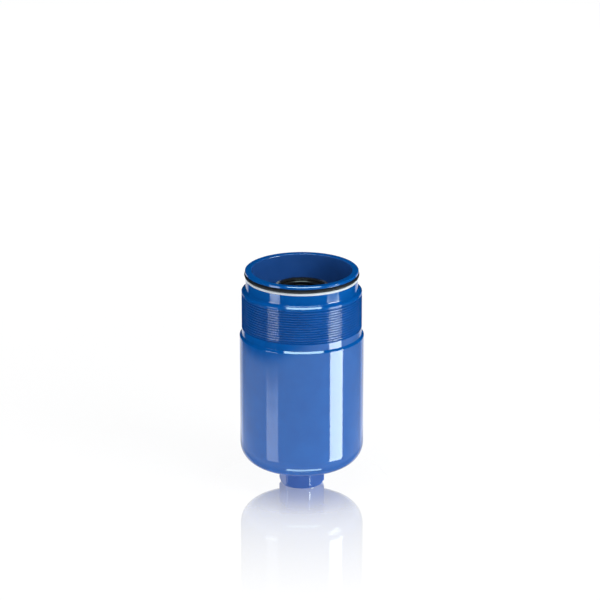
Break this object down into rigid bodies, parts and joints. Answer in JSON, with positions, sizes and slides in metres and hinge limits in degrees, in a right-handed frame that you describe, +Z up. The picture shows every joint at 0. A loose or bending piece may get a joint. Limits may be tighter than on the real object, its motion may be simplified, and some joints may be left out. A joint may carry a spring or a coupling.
{
  "type": "high pressure filter bowl with element",
  "caption": "Screw-in high pressure filter bowl with a hex end, an external thread and seals, holding a pleated filter element with a bypass valve.",
  "frame": {"origin": "centre of the hex's bottom face, on which the bowl stands", "axes": "+Z up the bowl's axis towards its open mouth; +X through a corner of the hex"},
  "size_m": [0.0984, 0.0984, 0.1789],
  "materials": {
    "painted_steel": "gloss blue enamel",
    "rubber": "oiled nitrile rubber",
    "ptfe": "turned white PTFE",
    "black_nylon": "moulded glass-filled nylon",
    "zinc_steel": "zinc-plated sheet",
    "media": "folded glass fibre mat",
    "turned_steel": "fine turned",
    "spring_steel": "drawn and oiled wire"
  },
  "bodies": {
    "bowl_and_element": {"filter_bowl": "painted_steel", "bowl_o_ring": "rubber", "backup_ring": "ptfe", "element_top_cap": "black_nylon", "spigot_o_ring": "rubber", "core_tube": "zinc_steel", "pleated_media": "media", "element_bottom_cap": "black_nylon", "valve_seat": "turned_steel", "valve_cage": "zinc_steel", "bypass_spring": "spring_steel"},
    "poppet": {"bypass_poppet": "turned_steel", "poppet_seal": "rubber", "stem_clip": "spring_steel"}
  },
  "joints": [
    {"name": "bypass_lift", "type": "slide", "parent": "bowl_and_element", "child": "poppet", "axis": [0, 0, 1], "range_m": [0, 0.0035], "stiffness_N_per_m": 15500, "springref_m": -0.0075, "deforming": ["bypass_spring"]}
  ]
}
